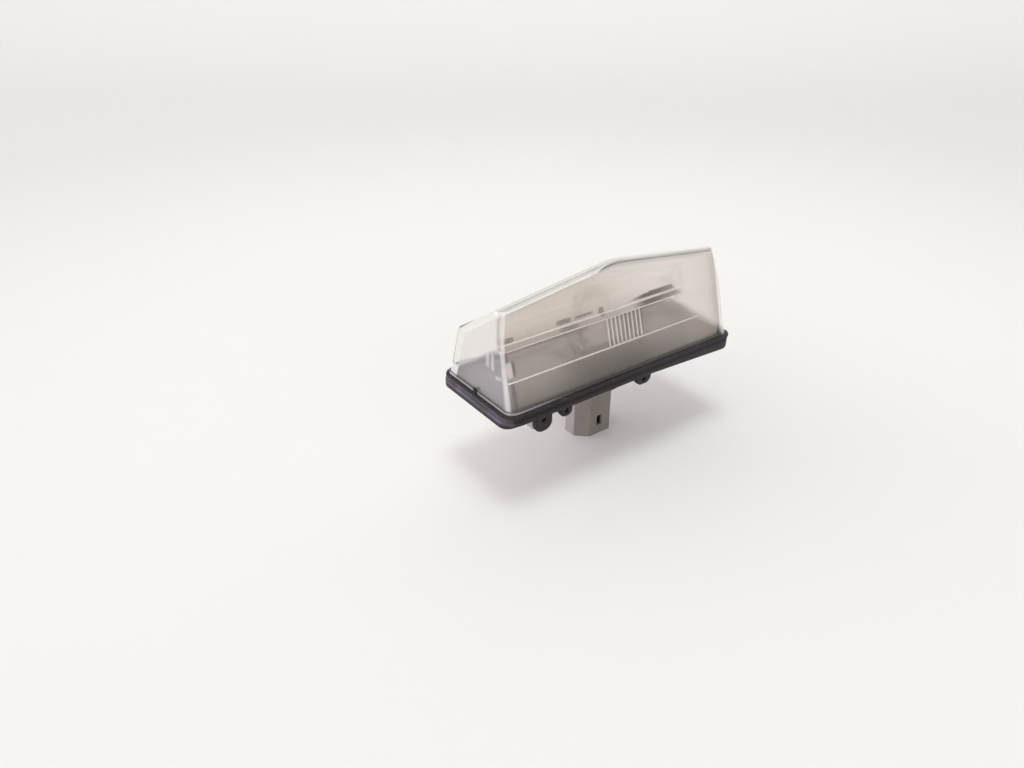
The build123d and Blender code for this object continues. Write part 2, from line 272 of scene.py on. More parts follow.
@dataclass(frozen=True)
class Zones:
    """Stretches of the lens over which its films and its painted light and shade come in, in millimetres,
    from none to full.
    """

    right: Plan = (-14.0, 20.0)
    far: Plan = (17.0, 31.0)
    side: Plan = (35.4, 36.2)
    left: Plan = (-32.0, -34.0)
    wall_end: Plan = (36.4, 36.0)
    thin: Plan = (2.55, 2.4)
    slant: Plan = (18.0, 26.0)
    low_step: Plan = (32.0, 28.0)
    high_steps: Plan = (22.4, 20.8)
    wedge: Plan = (-2.0, 15.0)
    bars: Plan = (1.0, 11.0)
    bars_end: Plan = (22.8, 21.4)
    trace_end: Plan = (24.5, 21.5)
    shade: Plan = (16.0, 4.0)
    shade_height: Plan = (4.0, 0.0)
    brow: Plan = (-16.0, 4.0)
    brow_depth: Plan = (6.0, 0.5)
    sheen: Plan = (10.0, 26.0)
    bead: Plan = (-18.0, -34.0)
    heel: Plan = (9.3, 10.0)
    heel_height: Plan = (5.2, 3.0)
    crest: Plan = (1.0, -3.0)


@dataclass(frozen=True)
class Shares:
    """How much of the lens each film, each painted light or shade and each painted see-through view covers
    where it lies thickest, and what some places add to it.
    """

    haze: float = 0.88
    haze_right: float = 0.04
    bulb: float = 0.75
    breath: float = 0.05
    breath_cloud: float = 0.08
    side: float = 0.93
    # Shares of the painted see-through view of the floor.
    dull: float = 0.52
    dull_cloud: float = 0.2
    floor_line: float = 0.65
    # Shares of a strip that is darker towards the foot and left of the middle.
    darkening: float = 0.08
    darkening_foot: float = 0.28
    darkening_cloud: float = 0.1
    darkening_middle: float = 0.45
    darkening_band: float = 0.28
    darkening_far_loss: float = 0.45
    # Shares of the painted see-through view of the dark back lip, its painted dark patches and painted shade.
    bars: float = 0.97
    bar_trace: float = 0.4
    bar_patch: float = 0.85
    bar_shade: float = 0.2
    # Share of painted shade between the flutes.
    flute_shade: float = 0.5
    # Shares of painted highlights and painted sheen.
    steps: float = 0.95
    light: float = 0.5
    flutes: float = 0.8
    brow: float = 0.1
    brow_right: float = 0.45
    sheen: float = 0.45
    specks: float = 0.05
    # Shares of painted white light and painted reflections.
    corner: float = 0.5
    heel: float = 0.65
    bead: float = 0.04
    bead_left: float = 0.36
    pane: float = 0.22
    crest: float = 0.6
    veil: float = 0.5
    end_marks: float = 0.6
    rim: float = 0.6


@dataclass(frozen=True)
class Spot:
    """A point of the lens: its place in millimetres, its direction, its clouding and a mask for each zone."""

    x: Value
    y: Value
    height: Value
    behind: Value
    nx: Value
    ny: Value
    nz: Value
    cloud: Value
    outer: Value
    front: Value
    end: Value
    side: Value
    right: Value
    far: Value
    upper: Value
    under_floor_line: Value


@dataclass(frozen=True)
class ClearLens:
    """Clear moulded plastic with dry films inside, painted highlights along its moulded steps, painted white
    light, painted shade and painted see-through views of the floor and the back lip; lengths in millimetres.
    """

    name: str = "lens_clear"
    tint: Colour = (0.985, 0.98, 0.965)
    worn: Colour = (0.965, 0.945, 0.905)
    haze: Colour = (0.68, 0.615, 0.525)
    fair: Colour = (0.97, 0.93, 0.86)
    # Colours of the painted see-through view of the floor, through the front and through the left end.
    grey: Colour = (0.41, 0.37, 0.35)
    lilac: Colour = (0.455, 0.425, 0.495)
    # Colour of the painted see-through view of the dark back lip, of the painted shade between the flutes, of
    # the darker strip at the foot and of the right end's rim.
    darkening: Colour = (0.085, 0.072, 0.062)
    # Colour of the haze's grain and of the painted highlights.
    pale: Colour = (0.93, 0.90, 0.84)
    # Colours of the painted white light and of the painted highlight on the crest.
    white: Colour = (0.82, 0.81, 0.81)
    crest: Colour = (0.56, 0.56, 0.55)
    zones: Zones = Zones()
    shares: Shares = Shares()
    seal: float = 25.5
    middle: float = 35.0
    face: float = -14.0
    lean: float = 16.2
    wall: Plan = (1.2, 3.6)
    wall_middle: float = -0.3
    end_pull: float = 0.3
    band: Plan = (6.4, 13.7)
    slant_start: float = 19.0
    slant_fall: float = 0.74
    slant_soft: float = 3.5
    hood: float = 15.4
    step_half: float = 0.1
    flutes: Point = (2.3, 1.42, 5.68)
    # Level and slope of the edge of the floor painted on the left end.
    floor_line: Plan = (10.2, -0.62)
    ridge: Plan = (27.6, 0.115)
    deep: Point = (-10.0, 2.0, 18.0)
    corner_turn: Plan = (-0.88, -0.76)
    corner_twist: float = 0.017
    back_slope: float = 0.325
    crest_slope: float = 0.3
    bead_height: float = 0.55
    index: float = 1.12
    coat_index: float = 1.5
    # Painted dark patches, where dark parts show through the walls.
    dark_marks: tuple[Mark, ...] = (
        Mark(-34.4, 16.0, 2.2, 0.7),
        Mark(-17.2, 16.2, 2.6, 0.75),
        Mark(-16.1, 14.6, 3.6, 0.6),
        Mark(-10.8, 16.2, 3.4, 0.4),
        Mark(-5.0, 15.7, 1.0, 1.3),
        Mark(-35.6, 12.2, 0.7, 1.7),
        Mark(-33.9, 9.3, 0.5, 1.9),
        Mark(-35.2, 3.0, 0.6, 3.6),
    )
    # Painted highlight near the front-left corner.
    light_marks: tuple[Mark, ...] = (Mark(-35.1, 9.2, 0.8, 2.0),)
    bulb_marks: tuple[Mark, ...] = (Mark(-4.6, 11.0, 6.5, 3.4),)
    # Painted reflections in the left end: two pale streaks and a glint.
    end_marks: tuple[Mark, ...] = (
        Mark(-2.7, 10.4, 0.8, 2.4),
        Mark(-4.8, 10.3, 0.7, 2.4),
        Mark(-7.0, 6.8, 1.1, 0.6),
    )

    @staticmethod
    def marks(g: Graph, across: Value, up: Value, marks: Sequence[Mark]) -> Value:
        """Mask of some patches.

        Args:
            g: the lens's graph.
            across: place along the wall.
            up: height above the seal plane.
            marks: the patches.

        Returns:
            1 on the patches.
        """
        mask = 0.0
        for mark in marks:
            wide, tall = (across - mark.across) / mark.half_across, (up - mark.up) / mark.half_up
            wide, tall = wide * wide, tall * tall
            mask = g.ramp(wide * wide + tall * tall, 1.4, 0.1) + mask
        return mask

    def spot(self, g: Graph) -> Spot:
        """Finds where a point of the lens lies.

        Args:
            g: the lens's graph.

        Returns:
            Its place, direction and clouding, and masks of the outer surface, the front wall, both ends, what
            lies to the right, what lies above the haze's edge and what lies below the edge of the floor
            painted on the left end.
        """
        zones = self.zones
        x, y, z = (part / MM for part in g.axes(g.place()))
        nx, ny, nz = g.normal()
        height = z - self.seal
        behind = y - self.face - math.tan(math.radians(self.lean)) * height
        cloud = g.noise(70.0, 4.0)
        outer = g.ramp(x * nx * self.end_pull + y * ny + (z - self.middle) * nz, -0.2, 0.2)
        edge = self.band[1] - self.slant_fall * ((x - self.slant_start) | 0.0)
        above = (height - edge) / (1 + self.slant_soft * g.ramp(x, *zones.slant))
        floor_line, tilt = self.floor_line
        return Spot(
            x=x,
            y=y,
            height=height,
            behind=behind,
            nx=nx,
            ny=ny,
            nz=nz,
            cloud=cloud,
            outer=outer,
            front=g.between(behind, *self.wall, 0.2) * g.ramp(abs(x - self.wall_middle), *zones.wall_end),
            end=(1 - outer) * g.ramp(nx, 0.4, 0.7) * g.ramp(x, *zones.left),
            side=g.ramp(x, *zones.side),
            right=g.ramp(x, *zones.right),
            far=g.ramp(x, *zones.far),
            upper=g.ramp(above + 1.2 * (cloud - 0.5), -0.5, 0.5),
            # Below the edge of the floor painted on the left end.
            under_floor_line=g.ramp(height - tilt * y - floor_line + 3 * (cloud - 0.5), 0.5, -0.5),
        )

    def steps(self, g: Graph, at: Spot) -> Value:
        """Moulded steps' edges, where highlights are painted.

        Args:
            g: the lens's graph.
            at: the point.

        Returns:
            Mask of the edges' painted highlights, which fade out towards the right end.
        """
        half, zones = self.step_half, self.zones
        levels = (*self.band, self.hood)
        low, high, hood = (g.between(at.height, level - half, level + half, 0.08) for level in levels)
        thin = g.ramp(at.behind, *zones.thin)
        low = low * thin * g.ramp(at.x, *zones.low_step)
        return low | (high | hood * thin) * g.ramp(at.x, *zones.high_steps)

    def strokes(self, g: Graph, at: Spot) -> tuple[Value, Value]:
        """Flutes inside the front wall, with painted highlights on them and painted shade between them.

        Args:
            g: the lens's graph.
            at: the point.

        Returns:
            Masks of the flutes' painted highlights and of the painted shade between them.
        """
        middle, pitch, reach = self.flutes
        phase = g.math("FRACT", (at.x - (middle - reach)) / pitch + 0.5, 0)
        zone = g.between(at.x, middle - reach - pitch / 2, middle + reach + pitch / 2, 0.05)
        zone = at.front * zone * g.between(at.height, *self.band, 0.1)
        return zone * g.between(phase, 0.34, 0.66, 0.10), zone * g.between(phase, 0.74, 1.10, 0.10)

    def bars(self, g: Graph, at: Spot) -> Value:
        """Painted see-through view of the dark back lip along the upper steps, with painted dark patches and
        painted shade just above the hood.

        Args:
            g: the lens's graph.
            at: the point.

        Returns:
            Mask of the painted dark view, patches and shade, thickest towards the right.
        """
        zones, share = self.zones, self.shares
        over = at.height - self.hood
        rough = g.noise(1500.0, 3.0)
        top = over - 1.4 * g.ramp(at.x, *zones.wedge) + 0.9 * (rough - 0.5)
        wedge = g.ramp(over, 0.1, 0.25) * g.ramp(top, 0.35, 0.0)
        under = g.between(at.height, self.band[1] + 0.4, self.hood - 0.15, 0.2)
        full = g.ramp(at.x, *zones.bars) * g.ramp(at.x + over, *zones.bars_end)
        trace = under * g.ramp(at.x, *zones.trace_end)
        shade = g.ramp(over, *zones.shade_height) * g.ramp(over, -0.1, 0.1) * g.ramp(at.x, *zones.shade)
        patch = self.marks(g, at.x, at.height, self.dark_marks) * (0.6 + 0.5 * rough)
        bars = full * (wedge | under) | share.bar_trace * trace
        return bars | share.bar_patch * patch | share.bar_shade * shade

    def dry_film(self, g: Graph, at: Spot) -> Value:
        """Dry haze inside the lens.

        Args:
            g: the lens's graph.
            at: the point.

        Returns:
            Its share, largest above the haze's edge and in front of the bulb.
        """
        share = self.shares
        bulb = share.bulb * self.marks(g, at.x, at.height, self.bulb_marks)
        front = at.front * (at.upper * (share.haze + share.haze_right * at.right) | bulb)
        breath = (1 - at.outer) * (share.breath + share.breath_cloud * at.cloud)
        return front | breath | share.side * at.side * at.upper

    def painted_floor_view(self, at: Spot) -> Value:
        """Painted see-through view of the grey floor, inside the lens.

        Args:
            at: the point.

        Returns:
            Its share, below the haze's edge and below the edge of the floor painted on the left end.
        """
        share = self.shares
        below = (at.front | at.side) * (1 - at.upper)
        return below * (share.dull + share.dull_cloud * at.cloud) | at.end * at.under_floor_line * share.floor_line

    def dark_film(self, g: Graph, at: Spot) -> Value:
        """Darkening inside the front wall: a painted see-through view of the dark back lip, and a strip
        darker towards the foot and left of the middle.

        Args:
            g: the lens's graph.
            at: the point.

        Returns:
            Its share, largest along the upper steps, at the foot and left of the middle.
        """
        share, low = self.shares, self.band[0]
        lower = g.ramp(at.height, low + 0.3, low - 0.6)
        foot = g.ramp(at.height, low, 0)
        deep = g.between(at.x, *self.deep)
        strip = share.darkening + share.darkening_foot * foot + share.darkening_cloud * at.cloud + share.darkening_middle * deep
        darkening = lower * strip | share.darkening_band * deep * (1 - at.upper)
        darkening = darkening * (1 - share.darkening_far_loss * at.far)
        return at.front * (darkening | share.bars * self.bars(g, at))

    def painted_highlights(self, g: Graph, at: Spot, flute_light: Value) -> Value:
        """Painted highlights: pale light along the moulded steps and flutes, and a painted sheen on the front
        below the ridge.

        Args:
            g: the lens's graph.
            at: the point.
            flute_light: mask of the flutes' painted highlights.

        Returns:
            Its share.
        """
        zones, share = self.zones, self.shares
        light = self.marks(g, at.x, at.height, self.light_marks)
        steps = self.steps(g, at) * share.steps | share.light * light
        # Painted sheen: a pale band below the ridge and on the upper right of the outer front.
        under_ridge = self.ridge[0] - self.ridge[1] * abs(at.x) - at.height
        brow = share.brow + share.brow_right * g.ramp(at.x, *zones.brow)
        brow = g.ramp(under_ridge, *zones.brow_depth) * brow
        brow = brow | share.sheen * at.upper * g.ramp(at.x, *zones.sheen)
        brow = brow * at.outer * g.ramp(at.ny, *SQUARE_ON)
        return at.front * steps | flute_light * share.flutes | brow

    def painted_white_light(self, g: Graph, at: Spot, crest: Value) -> Value:
        """Painted white light: highlights along the corners, the foot's bead and the crest, light on the left
        end, and painted reflections in streaks on it.

        Args:
            g: the lens's graph.
            at: the point.
            crest: mask of the crest.

        Returns:
            Its share.
        """
        zones, share = self.zones, self.shares
        # Painted highlights on the front-left corner, the heel and the bead, and painted light on the outer
        # left end.
        corner = g.between(at.nx - self.corner_twist * at.height, *self.corner_turn, 0.2)
        corner = corner * g.ramp(at.nx, -0.1, -0.25)
        back = g.ramp(at.y + self.back_slope * at.height, *zones.heel)
        heel = g.ramp(at.nx, -0.1, -0.35) * back * g.ramp(at.height, *zones.heel_height)
        bead = g.between(at.height, 0.0, self.bead_height, 0.15)
        bead = bead * (share.bead + share.bead_left * g.ramp(at.x, *zones.bead))
        pane = g.ramp(at.nx, *SQUARE_ON) * (1 - at.under_floor_line)
        edges = corner * share.corner | heel * share.heel | bead | pane * share.pane
        # Painted reflections in the left end.
        streaks = share.end_marks * self.marks(g, at.y, at.height, self.end_marks)
        veil = at.end * (share.veil * (1 - at.under_floor_line) | streaks)
        return at.outer * edges | crest * share.crest | veil

    def plastic(self, g: Graph, at: Spot, fine: Value, rim: Value) -> Value:
        """Clear plastic under the films.

        Args:
            g: the lens's graph.
            at: the point.
            fine: fine noise.
            rim: mask of the right end's rim, which has no gloss.

        Returns:
            The shader.
        """
        return g.surface(
            Base_Color=g.blend(at.cloud, self.tint, self.worn),
            Roughness=0.03 + 0.07 * (1 - at.outer) * (0.3 + at.upper) * (0.5 + at.cloud),
            IOR=self.index,
            Transmission_Weight=1.0,
            Coat_Weight=at.outer * (1 - rim),
            Coat_Roughness=0.06,
            Coat_IOR=self.coat_index,
            Normal=g.bump(fine, 0.003 * MM),
        )

    def material(self) -> bpy.types.Material:
        """Builds the material.

        Returns:
            Clear plastic, mixed with films, painted light, painted shade and painted see-through views by
            place and direction.
        """
        g = new_graph(self.name)
        at, share = self.spot(g), self.shares
        fine, speck = g.noise(900.0, 3.0), g.noise(2400.0, 2.0)
        flute_light, flute_shade = self.strokes(g, at)
        # Painted highlight on the crest, where it faces up.
        crest = g.ramp(at.y - self.crest_slope * at.height, *self.zones.crest)
        crest = at.outer * g.ramp(at.nz, 0.55, 0.8) * crest
        rim = at.outer * g.ramp(at.nx, 0.45, 0.75) * g.ramp(at.ny, -0.05, -0.2)

        hazy = g.blend(fine * 0.4, g.blend(at.right, self.haze, self.fair), self.pale)
        # Colour of the painted see-through view of the floor, grey through the front and lilac through the
        # left end.
        overlay = g.blend(at.end, g.blend(0.35 * at.cloud | 0.75 * at.far, self.grey, self.haze), self.lilac)
        dry = g.surface(Base_Color=hazy, Roughness=0.8)
        matt = g.surface(Base_Color=overlay, Roughness=0.8)
        dark_coat = g.surface(Base_Color=g.blend(fine * 0.12, self.darkening, self.haze), Roughness=0.85)
        highlight_paint = g.surface(Base_Color=(*self.pale, 1.0), Roughness=0.5)
        # Painted white light, and a painted highlight on the crest.
        gloss = g.surface(Base_Color=g.blend(crest, self.white, self.crest), Roughness=0.3)

        look = g.mix(self.dry_film(g, at), self.plastic(g, at, fine, rim), dry)
        # Painted see-through view of the floor, below the haze's edge and on the left end.
        look = g.mix(self.painted_floor_view(at), look, matt)
        # Painted see-through view of the dark back lip, a strip darker towards the foot, and painted shade
        # between the flutes.
        look = g.mix(self.dark_film(g, at) | flute_shade * share.flute_shade, look, dark_coat)
        # Painted highlights along the steps and flutes, and a painted sheen on the outer front.
        look = g.mix(self.painted_highlights(g, at, flute_light), look, highlight_paint)
        look = g.mix(share.specks * g.ramp(speck, 0.62, 0.72), look, dry)
        # Painted white light on the corners, the bead, the crest and the left end, with painted reflections.
        look = g.mix(self.painted_white_light(g, at, crest), look, gloss)
        return g.end(g.mix(rim * share.rim, look, dark_coat))


@dataclass(frozen=True)
class Rubber:
    """Black moulded rubber with a dry blooming, painted light on its left end where its lips face left, and a
    little dust on what faces up.
    """

    name: str
    colour: Colour = (0.013, 0.0095, 0.0095)
    # Colour of the blooming and of the painted light on the left-facing lips.
    bloom_and_light: Colour = (0.13, 0.113, 0.148)
    dust: Colour = (0.20, 0.18, 0.17)
    lit_lip_levels: Plan = (23.2 * MM, 24.8 * MM)
    bloom_half: float = 15 * MM

    def material(self) -> bpy.types.Material:
        """Builds the material.

        Returns:
            Dark rubber with blooming, painted light on its left-facing lips, dust and fine grain.
        """
        g = new_graph(self.name)
        x, _, z = g.axes(g.place())
        nx, _, nz = g.normal()
        cloud = g.noise(220.0, 4.0)
        grain = g.noise(5200.0, 2.0)
        speck = g.noise(1900.0, 2.0, harsh=0.7)
        up = g.ramp(nz, 0.2, 0.95)
        # Painted light: a lilac band on the lips where they face left.
        dry = g.between(z, *self.lit_lip_levels, 0.4 * MM) * g.ramp(nx, -0.3, -0.7)
        bloom_and_light = 0.04 + 0.08 * g.ramp(x, -self.bloom_half, self.bloom_half) + 0.88 * dry
        base = g.blend((0.4 + 0.6 * g.ramp(cloud, 0.3, 0.7)) * bloom_and_light, self.colour, self.bloom_and_light)
        dust = g.ramp(speck, 0.60, 0.72) * (0.15 + 0.45 * up)
        return g.end(
            g.surface(
                Base_Color=g.blend(dust, base, self.dust),
                Roughness=0.46 + 0.18 * cloud + 0.15 * dust,
                Specular_IOR_Level=0.3,
                Normal=g.bump(grain * 0.6 + cloud * 0.4, 0.03 * MM, 0.7),
            )
        )


@dataclass(frozen=True)
class MouldedPlastic:
    """Matt moulded plastic with a fine spark-eroded grain, faint flow marks, grimy smudges and dust, painted
    shade in its hollow and painted light on faces that look to the left.
    """

    name: str
    colour: Colour
    pale: Colour
    # Colour of the grimy smudges and of the painted shade in the hollow.
    grime_and_shade: Colour
    rough: float = 0.5
    grime_share: float = 0.25
    # Colour of the dust, also used for painted light on faces that look to the left.
    dust: Colour = (0.36, 0.345, 0.35)
    dust_level: float = 1.0
    # Share of painted light on faces that look to the left.
    left_light: float = 0.0
    hollow: tuple[Point, Point] = ((0.0, 0.0, -1.0), (0.0, 0.0, 0.0))
    hollow_corner: float = 1.0
    hollow_soft: float = 0.2 * MM

    def inside(self, g: Graph) -> Value:
        """Hollow of the moulding, darkened as painted shade, a box given by its middle, its half sizes and
        the reach of its cut corners.

        Args:
            g: the moulding's graph.

        Returns:
            Mask of the hollow's painted shade.
        """
        middles, halves = self.hollow
        x, y, z = (abs(place - middle) for place, middle in zip(g.axes(g.place()), middles))
        mask = g.ramp(x + y, self.hollow_corner + self.hollow_soft, self.hollow_corner)
        for place, half in zip((x, y, z), halves):
            mask = mask * g.ramp(place, half + self.hollow_soft, half)
        return mask

    def material(self) -> bpy.types.Material:
        """Builds the material.

        Returns:
            Grained plastic with flow marks, grimy smudges and dust, painted shade in the hollow and painted
            light on left-facing faces.
        """
        g = new_graph(self.name)
        z = g.axes(g.place())[2]
        nx = g.normal()[0]
        flow = g.noise(160.0, 3.0, stretch=(1.0, 1.0, 0.35))
        grain = g.noise(4200.0, 2.0)
        smudge = g.noise(420.0, 5.0, harsh=0.65)
        # Grimy smudges, and painted shade in the hollow.
        grime_and_shade = (g.ramp(smudge, 0.52, 0.74) * self.grime_share) | (0.9 * self.inside(g))
        base = g.blend(g.ramp(flow, 0.3, 0.7), self.colour, self.pale)
        overlay = g.ramp(z, self.dust_level - 0.5 * MM, self.dust_level)
        # Painted light on faces that look to the left.
        overlay = overlay | (self.left_light * g.ramp(nx, *SQUARE_ON))
        base = g.blend(overlay, base, self.dust)
        return g.end(
            g.surface(
                Base_Color=g.blend(grime_and_shade, base, self.grime_and_shade),
                Roughness=self.rough - 0.08 + 0.16 * grain + 0.12 * grime_and_shade,
                Specular_IOR_Level=0.45,
                Normal=g.bump(grain, 0.012 * MM, 0.8),
            )
        )


@dataclass(frozen=True)
class Metal:
    """Rolled or drawn metal with fine lines along one axis and a dull tarnish."""

    name: str
    colour: Colour
    tarnish: Colour
    rough: float
    grain: Point = (1.0, 1.0, 0.06)

    def material(self) -> bpy.types.Material:
        """Builds the material.

        Returns:
            Metal with lines and tarnish.
        """
        g = new_graph(self.name)
        lines = g.noise(9000.0, 2.0, stretch=self.grain)
        spots = g.ramp(g.noise(700.0, 4.0), 0.45, 0.75)
        return g.end(
            g.surface(
                Base_Color=g.blend(spots * 0.6, self.colour, self.tarnish),
                Metallic=1.0,
                Roughness=self.rough + 0.14 * lines + 0.15 * spots,
                Normal=g.bump(lines, 0.004 * MM, 0.6),
            )
        )


@dataclass(frozen=True)
class BulbGlass:
    """Clear thin glass with a faint smoky deposit towards its tip."""

    name: str = "bulb_glass"
    tint: Colour = (0.98, 0.98, 0.975)
    smoke: Colour = (0.86, 0.85, 0.83)
    smoke_from: float = 36.0 * MM
    smoke_to: float = 44.0 * MM

    def material(self) -> bpy.types.Material:
        """Builds the material.

        Returns:
            Refracting glass with a smoky tip.
        """
        g = new_graph(self.name)
        z = g.axes(g.place())[2]
        wisps = g.noise(260.0, 3.0)
        deposit = g.ramp(z, self.smoke_from, self.smoke_to) * (0.3 + 0.5 * wisps)
        return g.end(
            g.surface(
                Base_Color=g.blend(deposit, self.tint, self.smoke),
                Roughness=0.01 + 0.03 * wisps,
                IOR=1.25,
                Transmission_Weight=1.0,
            )
        )


@dataclass(frozen=True)
class TableTop:
    """Plain pale laminate of the studio's floor, with painted shade darkening it away from the lamp."""

    name: str = "table_pale"
    colour: Colour = (0.868, 0.86, 0.845)
    warm: Colour = (0.88, 0.866, 0.84)
    # Colour towards which painted shade darkens the floor away from the lamp.
    far: Colour = (0.745, 0.74, 0.73)

    def material(self) -> bpy.types.Material:
        """Builds the material.

        Returns:
            Pale satin laminate, painted darker away from the lamp as painted shade.
        """
        g = new_graph(self.name)
        cloud = g.noise(9.0, 3.0)
        away = g.add("VectorMath", {"operation": "LENGTH"}, {0: g.place()}, out="Value")
        near = g.blend(cloud, self.colour, self.warm)
        return g.end(
            g.surface(
                # Painted shade: darker away from the lamp.
                Base_Color=g.blend(g.ramp(away, 0.1, 0.5), near, self.far),
                Roughness=0.6 + 0.1 * cloud,
                Specular_IOR_Level=0.3,
            )
        )


LENS_CLEAR = ClearLens()
GASKET_RUBBER = Rubber("gasket_rubber")
SEAL_RUBBER = Rubber("seal_rubber", colour=(0.035, 0.033, 0.033))
HOUSING_GREY = MouldedPlastic(
    "housing_grey",
    (0.36, 0.345, 0.355),
    (0.41, 0.395, 0.40),
    (0.22, 0.20, 0.18),
    rough=0.48,
)
# The holder's hollow gets painted shade and its left-facing faces painted light.
HOLDER_GREY = MouldedPlastic(
    "holder_plastic",
    (0.185, 0.167, 0.14),
    (0.21, 0.19, 0.162),
    (0.035, 0.028, 0.022),
    grime_share=0.15,
    dust_level=24.2 * MM,
    left_light=0.65,
    hollow=((-0.7 * MM, 1.6 * MM, 5 * MM), (4.7 * MM, 4.1 * MM, 7 * MM)),
    hollow_corner=6.5 * MM,
)
BRASS = Metal("terminal_brass", (0.80, 0.62, 0.33), (0.42, 0.29, 0.14), 0.28)
LEAD_WIRE = Metal("lead_wire", (0.62, 0.60, 0.58), (0.30, 0.27, 0.25), 0.32)
FILAMENT_WIRE = Metal("filament_wire", (0.42, 0.42, 0.44), (0.20, 0.20, 0.22), 0.35, (0.1, 1.0, 1.0))
BULB_GLASS = BulbGlass()
TABLE_PALE = TableTop()


@dataclass
class MeshKit:
    """Mesh under construction, in millimetres of the row frame."""

    mesh: bmesh.types.BMesh = field(default_factory=bmesh.new)
    crease: float = math.radians(40)

    def loop(self, points: Sequence[Point]) -> list[bmesh.types.BMVert]:
        """Vertices at these points."""
        return [self.mesh.verts.new(point) for point in points]

    def skin(
        self, first: Sequence[bmesh.types.BMVert], second: Sequence[bmesh.types.BMVert], closed: bool = True
    ) -> None:
        """Quads between two loops of the same length.

        Args:
            first: one loop.
            second: the next loop.
            closed: whether the last point joins the first.
        """
        count = len(first)
        for index in range(count if closed else count - 1):
            after = (index + 1) % count
            self.mesh.faces.new((first[index], first[after], second[after], second[index]))

    def cap(self, loop: Sequence[bmesh.types.BMVert]) -> None:
        """Closes a loop by a fan round its middle.

        Args:
            loop: the loop's vertices in order.
        """
        middle = sum((vert.co for vert in loop), Vector()) / len(loop)
        centre = self.mesh.verts.new(middle)
        for index, vert in enumerate(loop):
            self.mesh.faces.new((vert, loop[(index + 1) % len(loop)], centre))

    def piece(self, name: str, finish: bpy.types.Material, shade: Shade = Shade.CREASED) -> bpy.types.Object:
        """Turns the mesh into a piece in metres.

        Args:
            name: the piece's name.
            finish: its material.
            shade: how its faces are shaded.

        Returns:
            The new object, linked to the scene.
        """
        bmesh.ops.recalc_face_normals(self.mesh, faces=self.mesh.faces)
        bmesh.ops.scale(self.mesh, vec=(MM, MM, MM), verts=self.mesh.verts)
        for edge in self.mesh.edges:
            edge.smooth = shade is Shade.ROUND or edge.calc_face_angle(0.0) < self.crease
        for face in self.mesh.faces:
            face.smooth = True
        data = bpy.data.meshes.new(name)
        self.mesh.to_mesh(data)
        self.mesh.free()
        data.materials.append(finish)
        made = bpy.data.objects.new(name, data)
        bpy.context.scene.collection.objects.link(made)
        return made


def settle(piece: bpy.types.Object, slot: Slot, *nodes: str) -> None:
    """Puts a new piece on the lamp in place of CAD nodes.

    Args:
        piece: the new object.
        slot: the record's slot of its finish; not used.
        nodes: the CAD nodes that it stands for.
    """
    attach(piece, "root")
    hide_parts(*nodes)
    log.info("%s: %d faces, for %s", piece.name, len(piece.data.polygons), ", ".join(nodes))


def dress(node: str, finish: bpy.types.Material) -> None:
    """Gives a CAD node that stays its finish.

    Args:
        node: the node's name.
        finish: its material.
    """
    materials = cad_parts[node].data.materials
    materials.clear()
    materials.append(finish)
    log.info("%s: CAD node in %s", node, finish.name)


@dataclass
class Lens:
    """Clear wedge over the lamp."""

    node: str = "lens"

    def build(self) -> None:
        """Dresses the CAD lens."""
        dress(self.node, LENS_CLEAR.material())


@dataclass
class Housing:
    """Light grey tray under the lens, with its lugs and pegs."""

    node: str = "housing"

    def build(self) -> None:
        """Dresses the CAD housing."""
        dress(self.node, HOUSING_GREY.material())


@dataclass(frozen=True)
class Tab:
    """Tab that hangs from the gasket: its place along X, its width and its drop in millimetres."""

    x: float
    width: float
    drop: float


@dataclass(frozen=True)
class Rail:
    """Line round the lens's foot: growth at ends and sides, level, front corner, share of the deepening."""

    end: float
    side: float
    z: float
    corner: float = 2.6
    sag: float = 0.0


